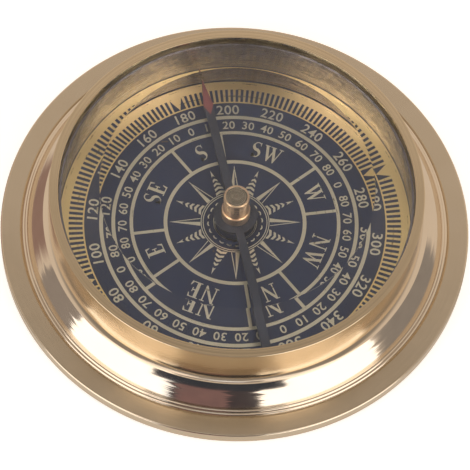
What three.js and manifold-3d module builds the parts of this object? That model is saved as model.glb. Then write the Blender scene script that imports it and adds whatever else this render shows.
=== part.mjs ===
// A round brass desk compass in the nautical style: a turned case under a bevelled glass,
// and a steel needle that turns on a point above a printed dial. Millimetres, +Z up.
// The base stands on z = 0, +X is the viewer's right and +Y points away from the viewer.
import * as THREE from 'three';
import { mergeVertices } from 'three/addons/utils/BufferGeometryUtils.js';
import Module from 'manifold-3d';

// Driving sizes across the case, worked outwards from the part of the dial that shows.
const DIAL_VIEW_RADIUS = 28.2;
const SLEEVE_WALL = 1.5;
const SLEEVE_LAND = 0.4;
const NECK_WALL = 1.1;
const BEZEL_WALL = 0.8;
const BEZEL_TAPER = 0.25;
const SHOULDER_WIDTH = 0.8;
const SLOPE_WIDTH = 2.85;
const FINE_BEAD_WIDTH = 0.4;
const FOOT_BEAD_WIDTH = 0.45;
const GROOVE_WIDTH = 0.35;
const FLANGE_WIDTH = 3.3;

// Driving sizes up the case.
const PAD_THICKNESS = 0.8;
const BASE_FLOOR = 1.4;
const FLANGE_THICKNESS = 2.2;
const GROOVE_DEPTH = 0.25;
const DIAL_THICKNESS = 0.5;
const SLEEVE_HEIGHT = 10;
const GASKET_THICKNESS = 0.4;
const GASKET_OVERLAP = 0.3;
const SLOPE_HEIGHT = 4.1;
const SHOULDER_RISE = 0.3;
const FOOT_BEAD_HEIGHT = 0.35;
const FINE_BEAD_HEIGHT = 0.35;

// The glass has a flat top and one broad bevel down to a short upright edge.
const GLASS_THICKNESS = 3.4;
const GLASS_EDGE = 1.3;
const GLASS_BEVEL_WIDTH = 7.65;
const LIP_OVERLAP = 0.75;
const LIP_THICKNESS = 0.55;

// Edges that the lathe tool breaks.
const FLANGE_EDGE = 0.3;
const BEZEL_EDGE = 0.2;
const THREAD_CHAMFER = 0.3;
const SLEEVE_CHAMFER = 0.25;

// The needle, its cap and the point that carries them.
const NEEDLE_BEARING = 15.5;
const NEEDLE_FLOAT = 2.2;
const BLADE_THICKNESS = 0.5;
const BLADE_WIDTH = 1.5;
const BLADE_DISC_RADIUS = 3.7;
const HEAD_WIDTH = 1.75;
const HEAD_TAPER_LENGTH = 5.75;
const HEAD_FLARE_LENGTH = 1.6;
const TIP_WALL_GAP = 0.45;
const TAIL_WALL_GAP = 2.2;
const HUB_HEIGHT = 6.2;
const HUB_RADIUS = 2.2;
const HUB_COLLAR_STEP = 0.25;
const HUB_COLLAR_HEIGHT = 2.1;
const HUB_CROWN = 0.5;
const HUB_CHAMFER = 0.1;
const HUB_BORE_RADIUS = 1.55;
const HUB_SPIGOT_WALL = 0.4;
const JEWEL_HEIGHT = 1.5;
const JEWEL_CUP_DEPTH = 0.9;
const JEWEL_CUP_RADIUS = 1;
const PIN_RADIUS = 0.45;
const PIN_POINT_LENGTH = 1.4;
const PIN_STANDOUT = 2.2;
const PIN_SOCKET_DEPTH = 1.8;
const POST_STEM_RADIUS = 1.05;
const POST_FOOT_RADIUS = 1.9;
const POST_FOOT_HEIGHT = 0.5;
const POST_SHANK_RADIUS = 1.25;

// Countersunk screws through the base into the body ring.
const SCREW_COUNT = 4;
const SCREW_FIRST_ANGLE = 45;
const SCREW_RADIUS = 0.9;
const SCREW_HEAD_RADIUS = 1.7;
const SCREW_HEAD_HEIGHT = 0.8;
const SCREW_BITE = 2.6;
const SCREW_SLOT_WIDTH = 0.45;
const SCREW_SLOT_DEPTH = 0.35;

// Clearances.
const SLIP_CLEARANCE = 0.15;
const THREAD_CLEARANCE = 0.1;
const GLASS_CLEARANCE = 0.25;
const LIP_GAP = 0.12;
const JEWEL_CLEARANCE = 0.05;
const POINT_GAP = 0.3;
const PAD_INSET = 1.5;
const SCREW_SINK = 0.1;
const HOLE_END_ROOM = 0.5;

// How far the broad slope of the body ring turns from its foot to its top, in degrees.
const SLOPE_CROWN = 25;

// Roundness of the solids.
const CASE_SIDES = 72;
const SMALL_SIDES = 36;
const SLOPE_STEPS = 6;
const EDGE_STEPS = 3;
const MERGE_DISTANCE = 1e-4;

// Radii that follow from the driving sizes.
const sleeveOuter = DIAL_VIEW_RADIUS + SLEEVE_WALL;
const wellRadius = sleeveOuter + SLIP_CLEARANCE;
const neckRadius = wellRadius + NECK_WALL;
const bezelBore = neckRadius + THREAD_CLEARANCE;
const bezelFoot = bezelBore + BEZEL_WALL;
const bezelTop = bezelFoot - BEZEL_TAPER;
const shoulderOuter = bezelFoot + SHOULDER_WIDTH;
const slopeFoot = shoulderOuter + SLOPE_WIDTH;
const fineBeadOuter = slopeFoot + FINE_BEAD_WIDTH;
const ringFoot = fineBeadOuter + FOOT_BEAD_WIDTH;
const grooveOuter = ringFoot + GROOVE_WIDTH;
const flangeRadius = grooveOuter + FLANGE_WIDTH;
const dialRadius = sleeveOuter;
const glassRadius = bezelBore - GLASS_CLEARANCE;
const glassFlatRadius = glassRadius - GLASS_BEVEL_WIDTH;
const lipOpening = glassRadius - LIP_OVERLAP;
const sleeveMouth = sleeveOuter - SLEEVE_LAND;
const gasketInner = sleeveOuter - GASKET_OVERLAP;
const screwCircle = (neckRadius + shoulderOuter + SLOPE_WIDTH / 2) / 2;

// Heights that follow from the driving sizes.
const baseBottom = PAD_THICKNESS;
const floorTop = baseBottom + BASE_FLOOR;
const flangeTop = baseBottom + FLANGE_THICKNESS;
const dialTop = floorTop + DIAL_THICKNESS;
const sleeveTop = dialTop + SLEEVE_HEIGHT;
const glassBottom = sleeveTop + GASKET_THICKNESS;
const glassTop = glassBottom + GLASS_THICKNESS;
const footBeadTop = flangeTop + FOOT_BEAD_HEIGHT;
const fineBeadTop = footBeadTop + FINE_BEAD_HEIGHT;
const shoulderTop = fineBeadTop + SLOPE_HEIGHT + SHOULDER_RISE;
const bevelSlope = (GLASS_THICKNESS - GLASS_EDGE) / GLASS_BEVEL_WIDTH;
const lipBottom = glassBottom + GLASS_EDGE + LIP_OVERLAP * bevelSlope + LIP_GAP;
const lipTop = lipBottom + LIP_THICKNESS;
const bladeBottom = dialTop + NEEDLE_FLOAT;
const bladeTop = bladeBottom + BLADE_THICKNESS;
const hubTop = bladeTop + HUB_HEIGHT;
const jewelTop = hubTop - HUB_CROWN;
const jewelBottom = jewelTop - JEWEL_HEIGHT;
const pinTip = jewelBottom + JEWEL_CUP_DEPTH - POINT_GAP;
const postTop = pinTip - PIN_STANDOUT;
const socketBottom = postTop - PIN_SOCKET_DEPTH;

const wasm = await Module();
wasm.setup();

const radians = THREE.MathUtils.degToRad;

// Points of an elliptical arc about (r, z), from one angle to another, in degrees.
function arc(r, z, radiusR, radiusZ, from, to, steps) {
  return Array.from({ length: steps + 1 }, (_, i) => {
    const angle = radians(from + ((to - from) * i) / steps);
    return [r + radiusR * Math.cos(angle), z + radiusZ * Math.sin(angle)];
  });
}

// A turned solid. Its [radius, height] outline runs anticlockwise from axis to axis.
function turned(outline, sides) {
  const points = outline.map(([r, z]) => new THREE.Vector2(r, z));
  return new THREE.LatheGeometry(points, sides).rotateX(Math.PI / 2);
}

// A turned ring, whose outline closes on itself.
function turnedRing(outline, sides) {
  return turned([...outline, outline[0]], sides);
}

function toSolid(geometry) {
  const bare = geometry.clone();
  bare.deleteAttribute('normal');
  bare.deleteAttribute('uv');
  const merged = mergeVertices(bare, MERGE_DISTANCE);
  return new wasm.Manifold(
    new wasm.Mesh({
      numProp: 3,
      vertProperties: merged.getAttribute('position').array,
      triVerts: new Uint32Array(merged.index.array),
    }),
  );
}

// The geometry left when the cutters are taken out of a piece.
function cut(geometry, cutters) {
  const solid = cutters.reduce((body, cutter) => body.subtract(toSolid(cutter)), toSolid(geometry));
  const mesh = solid.getMesh();
  const result = new THREE.BufferGeometry();
  result.setAttribute('position', new THREE.BufferAttribute(mesh.vertProperties, 3));
  result.setIndex(new THREE.BufferAttribute(mesh.triVerts, 1));
  result.computeVertexNormals();
  return result;
}

const finishes = {
  polishedBrass: { color: '#b8995f', metalness: 1, roughness: 0.16 },
  brushedBrass: { color: '#a48c62', metalness: 1, roughness: 0.36 },
  plateGlass: { color: '#dfe9e2', metalness: 0, roughness: 0.02, transparent: true, opacity: 0.35 },
  printedDial: { color: '#3b3c46', metalness: 0.2, roughness: 0.4 },
  bluedSteel: { color: '#4b4c55', metalness: 0.8, roughness: 0.35 },
  hardSteel: { color: '#9a9ca0', metalness: 1, roughness: 0.2 },
  sapphire: { color: '#b4485a', metalness: 0, roughness: 0.05 },
  brownRubber: { color: '#4d4238', metalness: 0, roughness: 0.8 },
  greenFelt: { color: '#27402f', metalness: 0, roughness: 1 },
};

function piece(name, geometry, finish) {
  const mesh = new THREE.Mesh(geometry, new THREE.MeshStandardMaterial(finishes[finish]));
  mesh.name = name;
  return mesh;
}

// Countersunk screw outline, grown by a clearance where it is used to cut a hole.
function screwOutline(clearance, headBottom, tip) {
  const shank = SCREW_RADIUS + clearance;
  const head = SCREW_HEAD_RADIUS + clearance;
  const headTop = baseBottom + SCREW_SINK + SCREW_HEAD_HEIGHT;
  return [
    [0, headBottom],
    [head, headBottom],
    [head, baseBottom + SCREW_SINK],
    [shank, headTop],
    [shank, tip],
    [0, tip],
  ];
}

function placeOnScrewCircle(object, index) {
  const angle = radians(SCREW_FIRST_ANGLE + (360 * index) / SCREW_COUNT);
  return object.translate(screwCircle * Math.cos(angle), screwCircle * Math.sin(angle), 0);
}

function screwHoles() {
  const tip = flangeTop + SCREW_BITE + HOLE_END_ROOM;
  const outline = screwOutline(THREAD_CLEARANCE, baseBottom - HOLE_END_ROOM, tip);
  return Array.from({ length: SCREW_COUNT }, (_, i) => placeOnScrewCircle(turned(outline, SMALL_SIDES), i));
}

// Felt disc glued under the base.
function feltPad() {
  const radius = flangeRadius - PAD_INSET;
  return turned([[0, 0], [radius, 0], [radius, PAD_THICKNESS], [0, PAD_THICKNESS]], CASE_SIDES);
}

// Turned base: a flange with broken edges, one fine groove, and a shallow well for the dial.
function baseFlange() {
  const studHole = POST_SHANK_RADIUS + THREAD_CLEARANCE;
  const edgeCentre = flangeRadius - FLANGE_EDGE;
  const outline = [
    [studHole, baseBottom],
    ...arc(edgeCentre, baseBottom + FLANGE_EDGE, FLANGE_EDGE, FLANGE_EDGE, -90, 0, EDGE_STEPS),
    ...arc(edgeCentre, flangeTop - FLANGE_EDGE, FLANGE_EDGE, FLANGE_EDGE, 0, 90, EDGE_STEPS),
    [grooveOuter, flangeTop],
    [grooveOuter - GROOVE_WIDTH / 2, flangeTop - GROOVE_DEPTH],
    [ringFoot, flangeTop],
    [wellRadius, flangeTop],
    [wellRadius, floorTop],
    [studHole, floorTop],
  ];
  return cut(turnedRing(outline, CASE_SIDES), screwHoles());
}

// The body ring's broad slope, from its foot up to the shoulder: a flat arc that crowns it slightly.
function crownedSlope() {
  const facing = THREE.MathUtils.radToDeg(Math.atan2(SLOPE_WIDTH, SLOPE_HEIGHT));
  const from = facing - SLOPE_CROWN / 2;
  const radius = Math.hypot(SLOPE_WIDTH, SLOPE_HEIGHT) / (2 * Math.sin(radians(SLOPE_CROWN / 2)));
  const centreR = slopeFoot - radius * Math.cos(radians(from));
  const centreZ = fineBeadTop - radius * Math.sin(radians(from));
  return arc(centreR, centreZ, radius, radius, from, from + SLOPE_CROWN, SLOPE_STEPS);
}

// Body ring: two small beads, the broad slope, a leaning shoulder, and the neck for the bezel's thread.
function bodyRing() {
  const footCentre = ringFoot - FOOT_BEAD_WIDTH;
  const fineCentre = fineBeadOuter - FINE_BEAD_WIDTH;
  const outline = [
    [wellRadius, flangeTop],
    ...arc(footCentre, flangeTop, FOOT_BEAD_WIDTH, FOOT_BEAD_HEIGHT, 0, 90, EDGE_STEPS),
    ...arc(fineCentre, footBeadTop, FINE_BEAD_WIDTH, FINE_BEAD_HEIGHT, 0, 90, EDGE_STEPS).slice(1),
    ...crownedSlope().slice(1),
    [bezelFoot, shoulderTop],
    [neckRadius, shoulderTop],
    [neckRadius, sleeveTop - THREAD_CHAMFER],
    [neckRadius - THREAD_CHAMFER, sleeveTop],
    [wellRadius, sleeveTop],
  ];
  return cut(turnedRing(outline, CASE_SIDES), screwHoles());
}

function baseScrew(index) {
  const headBottom = baseBottom + SCREW_SINK;
  const screw = turned(screwOutline(0, headBottom, flangeTop + SCREW_BITE), SMALL_SIDES);
  const slotLength = 2 * SCREW_HEAD_RADIUS + HOLE_END_ROOM;
  const slot = new THREE.BoxGeometry(slotLength, SCREW_SLOT_WIDTH, 2 * SCREW_SLOT_DEPTH);
  slot.translate(0, 0, headBottom);
  return placeOnScrewCircle(cut(screw, [slot]), index);
}

// Printed brass disc that lies in the well, with a hole for the pivot post.
function dialPlate() {
  const postHole = POST_SHANK_RADIUS + THREAD_CLEARANCE;
  return turnedRing(
    [[postHole, floorTop], [dialRadius, floorTop], [dialRadius, dialTop], [postHole, dialTop]],
    CASE_SIDES,
  );
}

// Sleeve that stands on the dial's margin and carries the glass on the gasket; its bore widens upwards.
function spacerSleeve() {
  const outline = [
    [DIAL_VIEW_RADIUS + SLEEVE_CHAMFER, dialTop],
    [sleeveOuter, dialTop],
    [sleeveOuter, sleeveTop],
    [sleeveMouth, sleeveTop],
    [DIAL_VIEW_RADIUS, dialTop + SLEEVE_CHAMFER],
  ];
  return turnedRing(outline, CASE_SIDES);
}

function glassGasket() {
  return turnedRing(
    [[gasketInner, sleeveTop], [glassRadius, sleeveTop], [glassRadius, glassBottom], [gasketInner, glassBottom]],
    CASE_SIDES,
  );
}

function glassCrystal() {
  const outline = [
    [0, glassBottom],
    [glassRadius, glassBottom],
    [glassRadius, glassBottom + GLASS_EDGE],
    [glassFlatRadius, glassTop],
    [0, glassTop],
  ];
  return turned(outline, CASE_SIDES);
}

// Bezel: a tall, slightly tapered band that screws on the neck, with a thin lip over the glass.
function bezelRing() {
  const outline = [
    [bezelBore, shoulderTop],
    [bezelFoot, shoulderTop],
    ...arc(bezelTop - BEZEL_EDGE, lipTop - BEZEL_EDGE, BEZEL_EDGE, BEZEL_EDGE, 0, 90, EDGE_STEPS),
    ...arc(lipOpening + BEZEL_EDGE, lipTop - BEZEL_EDGE, BEZEL_EDGE, BEZEL_EDGE, 90, 180, EDGE_STEPS),
    [lipOpening, lipBottom],
    [bezelBore, lipBottom],
  ];
  return turnedRing(outline, CASE_SIDES);
}

// Brass stud screwed through the dial into the base, with a socket for the steel point.
function pivotPost() {
  const socketRadius = PIN_RADIUS + JEWEL_CLEARANCE;
  const outline = [
    [0, baseBottom + SCREW_SINK],
    [POST_SHANK_RADIUS, baseBottom + SCREW_SINK],
    [POST_SHANK_RADIUS, dialTop],
    [POST_FOOT_RADIUS, dialTop],
    [POST_FOOT_RADIUS, dialTop + POST_FOOT_HEIGHT],
    [POST_STEM_RADIUS, dialTop + POST_FOOT_HEIGHT],
    [POST_STEM_RADIUS, postTop],
    [socketRadius, postTop],
    [socketRadius, socketBottom],
    [0, socketBottom],
  ];
  return turned(outline, SMALL_SIDES);
}

function pivotPin() {
  const outline = [
    [0, socketBottom],
    [PIN_RADIUS, socketBottom],
    [PIN_RADIUS, pinTip - PIN_POINT_LENGTH],
    [0, pinTip],
  ];
  return turned(outline, SMALL_SIDES);
}

// Flat steel blade: a disc at the middle, an arm with a dart head along +Y and a blunt tail along -Y.
function needleBlade() {
  const half = BLADE_WIDTH / 2;
  const tip = DIAL_VIEW_RADIUS - TIP_WALL_GAP;
  const headShoulder = tip - HEAD_TAPER_LENGTH;
  const headFoot = headShoulder - HEAD_FLARE_LENGTH;
  const tail = DIAL_VIEW_RADIUS - TAIL_WALL_GAP;
  const spread = Math.asin(half / BLADE_DISC_RADIUS);
  const shape = new THREE.Shape();
  shape.moveTo(half, -tail);
  shape.absarc(0, 0, BLADE_DISC_RADIUS, spread - Math.PI / 2, Math.PI / 2 - spread, false);
  shape.lineTo(half, headFoot);
  shape.lineTo(HEAD_WIDTH / 2, headShoulder);
  shape.lineTo(0, tip);
  shape.lineTo(-HEAD_WIDTH / 2, headShoulder);
  shape.lineTo(-half, headFoot);
  shape.absarc(0, 0, BLADE_DISC_RADIUS, Math.PI / 2 + spread, 1.5 * Math.PI - spread, false);
  shape.lineTo(-half, -tail);
  shape.closePath();
  const hole = new THREE.Path();
  hole.absarc(0, 0, HUB_BORE_RADIUS + HUB_SPIGOT_WALL + THREAD_CLEARANCE, 0, 2 * Math.PI, true);
  shape.holes.push(hole);
  const options = { depth: BLADE_THICKNESS, bevelEnabled: false, curveSegments: SMALL_SIDES / 2 };
  return new THREE.ExtrudeGeometry(shape, options).translate(0, 0, bladeBottom);
}

// Turned cap that holds the jewel over the point: a collar at its foot, and a spigot through the blade.
function hubCap() {
  const spigot = HUB_BORE_RADIUS + HUB_SPIGOT_WALL;
  const collar = HUB_RADIUS + HUB_COLLAR_STEP;
  const collarTop = bladeTop + HUB_COLLAR_HEIGHT;
  const outline = [
    [0, jewelTop],
    [HUB_BORE_RADIUS, jewelTop],
    [HUB_BORE_RADIUS, bladeBottom],
    [spigot, bladeBottom],
    [spigot, bladeTop],
    [collar - HUB_CHAMFER, bladeTop],
    [collar, bladeTop + HUB_CHAMFER],
    [collar, collarTop - HUB_CHAMFER],
    [collar - HUB_CHAMFER, collarTop],
    [HUB_RADIUS, collarTop],
    [HUB_RADIUS, hubTop - HUB_CHAMFER],
    [HUB_RADIUS - HUB_CHAMFER, hubTop],
    [0, hubTop],
  ];
  return turned(outline, SMALL_SIDES);
}

// Cup bearing pressed up into the cap.
function jewelCup() {
  const radius = HUB_BORE_RADIUS - JEWEL_CLEARANCE;
  const outline = [
    [0, jewelBottom + JEWEL_CUP_DEPTH],
    [JEWEL_CUP_RADIUS, jewelBottom],
    [radius, jewelBottom],
    [radius, jewelTop],
    [0, jewelTop],
  ];
  return turned(outline, SMALL_SIDES);
}

const needle = new THREE.Group();
needle.rotation.z = radians(NEEDLE_BEARING);
needle.add(
  piece('needle_blade', needleBlade(), 'bluedSteel'),
  piece('hub_cap', hubCap(), 'polishedBrass'),
  piece('jewel_cup', jewelCup(), 'sapphire'),
);

const compass = new THREE.Group();
compass.add(
  piece('felt_pad', feltPad(), 'greenFelt'),
  piece('base_flange', baseFlange(), 'brushedBrass'),
  piece('body_ring', bodyRing(), 'polishedBrass'),
  piece('dial_plate', dialPlate(), 'printedDial'),
  piece('spacer_sleeve', spacerSleeve(), 'polishedBrass'),
  piece('glass_gasket', glassGasket(), 'brownRubber'),
  piece('glass_crystal', glassCrystal(), 'plateGlass'),
  piece('bezel_ring', bezelRing(), 'polishedBrass'),
  piece('pivot_post', pivotPost(), 'polishedBrass'),
  piece('pivot_pin', pivotPin(), 'hardSteel'),
  needle,
);
for (let i = 0; i < SCREW_COUNT; i += 1) {
  compass.add(piece(`base_screw_${i + 1}`, baseScrew(i), 'hardSteel'));
}

export default compass;
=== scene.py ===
"""The looks of a round brass desk compass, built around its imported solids. Metres, +Z up."""

import math

import bmesh
import bpy
from mathutils import Matrix, Vector


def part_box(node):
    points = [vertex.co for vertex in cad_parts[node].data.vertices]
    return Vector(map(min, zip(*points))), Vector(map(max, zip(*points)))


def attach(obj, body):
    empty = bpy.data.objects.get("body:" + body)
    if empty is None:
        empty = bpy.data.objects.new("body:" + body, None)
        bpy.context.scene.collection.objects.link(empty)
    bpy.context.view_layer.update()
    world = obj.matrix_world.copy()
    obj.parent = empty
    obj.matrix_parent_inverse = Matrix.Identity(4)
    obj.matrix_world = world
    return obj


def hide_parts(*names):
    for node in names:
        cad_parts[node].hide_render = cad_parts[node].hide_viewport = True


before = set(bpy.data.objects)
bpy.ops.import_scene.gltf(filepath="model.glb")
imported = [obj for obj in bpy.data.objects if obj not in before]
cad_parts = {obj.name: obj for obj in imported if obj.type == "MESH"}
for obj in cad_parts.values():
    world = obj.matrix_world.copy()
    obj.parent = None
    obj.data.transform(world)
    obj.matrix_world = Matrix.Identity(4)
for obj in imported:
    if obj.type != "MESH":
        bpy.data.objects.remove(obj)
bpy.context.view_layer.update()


# Camera. It looks at the compass from the front, about 61 degrees above the table, through a long
# lens that is held a little askew. Distance and aim put the case's rings where the photograph has
# them in its 470 pixel frame.
MM = 0.001
CAMERA_DISTANCE = 600 * MM
CAMERA_ELEVATION = math.radians(60.97)
CAMERA_ROLL = math.radians(3.68)
CAMERA_AIM = Vector((0.127, -5.099, 8.7)) * MM
FOCAL_PIXELS = 3554.5
FRAME_PIXELS = 470
SENSOR_WIDTH = 36
NEAREST_SEEN = 10 * MM

lens = bpy.data.cameras.new("camera")
lens.sensor_width = SENSOR_WIDTH
lens.lens = SENSOR_WIDTH * FOCAL_PIXELS / FRAME_PIXELS
lens.clip_start = NEAREST_SEEN
camera = bpy.data.objects.new("camera", lens)
bpy.context.scene.collection.objects.link(camera)
backwards = Vector((0, -math.cos(CAMERA_ELEVATION), math.sin(CAMERA_ELEVATION)))
camera.matrix_world = (
    Matrix.Translation(CAMERA_AIM + backwards * CAMERA_DISTANCE)
    @ Matrix.Rotation(math.pi / 2 - CAMERA_ELEVATION, 4, "X")
    @ Matrix.Rotation(CAMERA_ROLL, 4, "Z")
)
bpy.context.scene.camera = camera


# Felt pad. A disc of dark green wool felt, die-cut and glued under the base, so that only its thin
# edge shows.
PAD_EDGE = 0.12 * MM
FELT_DARK = "1d3024"
FELT_LIGHT = "35503f"
FELT_FIBRE = 0.25 * MM
FELT_NAP = 0.08 * MM
TURN_STEPS = 256
EASE_STEPS = 6
MERGE_DISTANCE = 0.001 * MM


def turned(outline, eased=None):
    """Spins an outline of (radius, height) corners about the axis; eased rounds corners by number."""
    shape = bmesh.new()
    corners = [shape.verts.new((radius, 0, height)) for radius, height in outline]
    shape.faces.new(corners)
    for number, rounding in (eased or {}).items():
        bmesh.ops.bevel(shape, geom=[corners[number]], offset=rounding, offset_type="OFFSET",
                        affect="VERTICES", segments=EASE_STEPS, profile=0.5, material=-1)
    bmesh.ops.delete(shape, geom=shape.faces[:], context="FACES_ONLY")
    on_axis = [edge for edge in shape.edges if all(vert.co.x == 0 for vert in edge.verts)]
    bmesh.ops.delete(shape, geom=on_axis, context="EDGES")
    bmesh.ops.spin(shape, geom=shape.verts[:] + shape.edges[:], cent=(0, 0, 0), axis=(0, 0, 1),
                   angle=math.tau, steps=TURN_STEPS, use_merge=True)
    bmesh.ops.remove_doubles(shape, verts=shape.verts, dist=MERGE_DISTANCE)
    bmesh.ops.recalc_face_normals(shape, faces=shape.faces)
    return shape


def add_piece(name, shape, finishes, sharp_angle=32):
    """Makes a finished piece of a shape: smooth, with edges kept sharp past an angle in degrees."""
    mesh = bpy.data.meshes.new(name)
    shape.to_mesh(mesh)
    shape.free()
    for finish in finishes:
        mesh.materials.append(finish)
    mesh.shade_smooth()
    mesh.set_sharp_from_angle(angle=math.radians(sharp_angle))
    piece = bpy.data.objects.new(name, mesh)
    bpy.context.scene.collection.objects.link(piece)
    weighted = piece.modifiers.new("flat faces stay flat", "WEIGHTED_NORMAL")
    weighted.keep_sharp = True
    return piece


def linear(code):
    """Turns an sRGB hex colour into the linear RGBA that a shader socket takes."""
    channels = [int(code[at:at + 2], 16) / 255 for at in (0, 2, 4)]
    return [c / 12.92 if c <= 0.04045 else ((c + 0.055) / 1.055) ** 2.4 for c in channels] + [1]


def new_finish(name):
    """Starts an empty material and returns it with its node tree."""
    finish = bpy.data.materials.new(name)
    finish.use_nodes = True
    finish.node_tree.nodes.clear()
    return finish, finish.node_tree


def put(tree, kind, sockets=None, **settings):
    """Adds one node, gives it its settings, and sets or links its input sockets."""
    node = tree.nodes.new(kind)
    for name, value in settings.items():
        setattr(node, name, value)
    for socket, value in (sockets or {}).items():
        if isinstance(value, bpy.types.NodeSocket):
            tree.links.new(value, node.inputs[socket])
        else:
            node.inputs[socket].default_value = value
    return node


# Pressed wool felt: matt, with a fuzzy edge and fibres of two greens lying in every direction, drawn
# coarse enough to show.
MIX_A, MIX_B, MIX_RESULT = 6, 7, 2
wool_felt, tree = new_finish("pressed wool felt")
place = put(tree, "ShaderNodeTexCoord")
fibres = put(tree, "ShaderNodeTexNoise", {
    "Vector": place.outputs["Object"], "Scale": 1 / FELT_FIBRE, "Detail": 6, "Distortion": 2})
tone = put(tree, "ShaderNodeMix", {
    0: fibres.outputs["Fac"], MIX_A: linear(FELT_DARK), MIX_B: linear(FELT_LIGHT)}, data_type="RGBA")
nap = put(tree, "ShaderNodeBump", {"Height": fibres.outputs["Fac"], "Distance": FELT_NAP})
cloth = put(tree, "ShaderNodeBsdfPrincipled", {
    "Base Color": tone.outputs[MIX_RESULT], "Normal": nap.outputs["Normal"], "Roughness": 0.95,
    "Sheen Weight": 0.4, "Sheen Roughness": 0.5})
put(tree, "ShaderNodeOutputMaterial", {"Surface": cloth.outputs["BSDF"]})

pad_low, pad_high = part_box("felt_pad")
pad_outline = [(0, pad_low.z), (pad_high.x, pad_low.z), (pad_high.x, pad_high.z), (0, pad_high.z)]
felt_disc = add_piece("felt_disc", turned(pad_outline, {1: PAD_EDGE, 2: PAD_EDGE}), [wool_felt])
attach(felt_disc, "case")
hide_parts("felt_pad")


# Base. A brass disc faced off on the lathe and left satin, with a wide flange whose edges are
# broken, and one fine groove just outside the foot of the ring above.
STUD_HOLE = 1.35 * MM
WELL_RADIUS = 29.85 * MM
WELL_FLOOR = 2.2 * MM
GROOVE_OUTER = 36.7 * MM
GROOVE_WIDTH = 0.35 * MM
GROOVE_DEPTH = 0.25 * MM
FLANGE_EDGE = 0.3 * MM
SATIN_BRIGHT = "ede1cf"
SATIN_DULL = "e0d2bc"
TARNISH_PATCH = 9 * MM
SMUDGE = 3.5 * MM
STREAK_PITCH = 0.08 * MM
ACROSS_THE_LINES = 0.25
CLEAN_SHARE = 0.75
SMUDGED_SHARE = 1.3


def turned_metal(name, bright, dull, roughness, line_pitch, line_height, spread, waver=0, bare=1):
    """Metal as a lathe leaves it: rings of tool lines, drawn coarse enough to show, that spread the shine
    across themselves and make a mirror waver, faint tarnish, and smudges. Bare is how metallic it is."""
    finish, tree = new_finish(name)
    place = put(tree, "ShaderNodeTexCoord")
    apart = put(tree, "ShaderNodeSeparateXYZ", {"Vector": place.outputs["Object"]})
    flat = put(tree, "ShaderNodeCombineXYZ", {"X": apart.outputs["X"], "Y": apart.outputs["Y"]})
    radius = put(tree, "ShaderNodeVectorMath", {0: flat.outputs["Vector"]}, operation="LENGTH")
    along = put(tree, "ShaderNodeMath", {
        0: radius.outputs["Value"], 1: apart.outputs["Z"]}, operation="ADD")
    lines = put(tree, "ShaderNodeTexNoise", {
        "W": along.outputs["Value"], "Scale": 1 / line_pitch, "Detail": 3, "Roughness": 0.6},
        noise_dimensions="1D")
    tarnish = put(tree, "ShaderNodeTexNoise", {
        "Vector": place.outputs["Object"], "Scale": 1 / TARNISH_PATCH, "Detail": 4})
    tone = put(tree, "ShaderNodeMix", {
        0: tarnish.outputs["Fac"], MIX_A: linear(bright), MIX_B: linear(dull)}, data_type="RGBA")
    smudges = put(tree, "ShaderNodeTexNoise", {
        "Vector": place.outputs["Object"], "Scale": 1 / SMUDGE, "Detail": 5, "Roughness": 0.65})
    wear = put(tree, "ShaderNodeMath", {
        0: smudges.outputs["Fac"], 1: lines.outputs["Fac"]}, operation="ADD")
    shine = put(tree, "ShaderNodeMapRange", {
        "Value": wear.outputs["Value"], "From Min": 0.6, "From Max": 1.4,
        "To Min": roughness * CLEAN_SHARE, "To Max": roughness * SMUDGED_SHARE})
    round_axis = put(tree, "ShaderNodeTangent", direction_type="RADIAL", axis="Z")
    streaks = put(tree, "ShaderNodeTexNoise", {
        "W": along.outputs["Value"], "Scale": 1 / STREAK_PITCH, "Detail": 2}, noise_dimensions="1D")
    sway = put(tree, "ShaderNodeMapRange", {
        "Value": streaks.outputs["Fac"], "To Min": -waver, "To Max": waver})
    aside = put(tree, "ShaderNodeVectorMath", {
        0: round_axis.outputs["Tangent"], "Scale": sway.outputs["Result"]}, operation="SCALE")
    surface = put(tree, "ShaderNodeNewGeometry")
    leaning = put(tree, "ShaderNodeVectorMath", {
        0: surface.outputs["Normal"], 1: aside.outputs["Vector"]}, operation="ADD")
    facing = put(tree, "ShaderNodeVectorMath", {0: leaning.outputs["Vector"]}, operation="NORMALIZE")
    ridges = put(tree, "ShaderNodeBump", {
        "Height": lines.outputs["Fac"], "Distance": line_height, "Normal": facing.outputs["Vector"]})
    metal = put(tree, "ShaderNodeBsdfPrincipled", {
        "Base Color": tone.outputs[MIX_RESULT], "Roughness": shine.outputs["Result"],
        "Normal": ridges.outputs["Normal"], "Tangent": round_axis.outputs["Tangent"],
        "Metallic": bare, "Anisotropic": spread, "Anisotropic Rotation": ACROSS_THE_LINES})
    put(tree, "ShaderNodeOutputMaterial", {"Surface": metal.outputs["BSDF"]})
    return finish


# Satin turned brass: close tool rings that draw the shine out into soft, even bands.
satin_brass = turned_metal("satin turned brass", SATIN_BRIGHT, SATIN_DULL, roughness=0.2,
                           line_pitch=0.3 * MM, line_height=0.002 * MM, spread=0.78)
base_low, base_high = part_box("base_flange")
ring_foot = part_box("body_ring")[1].x
base_outline = [
    (STUD_HOLE, base_low.z),
    (base_high.x, base_low.z),
    (base_high.x, base_high.z),
    (GROOVE_OUTER, base_high.z),
    (GROOVE_OUTER - GROOVE_WIDTH / 2, base_high.z - GROOVE_DEPTH),
    (ring_foot, base_high.z),
    (WELL_RADIUS, base_high.z),
    (WELL_RADIUS, WELL_FLOOR),
    (STUD_HOLE, WELL_FLOOR),
]
base_shape = turned(base_outline, {1: FLANGE_EDGE, 2: FLANGE_EDGE})
brass_base = add_piece("brass_base", base_shape, [satin_brass])
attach(brass_base, "case")
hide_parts("base_flange")


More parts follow.
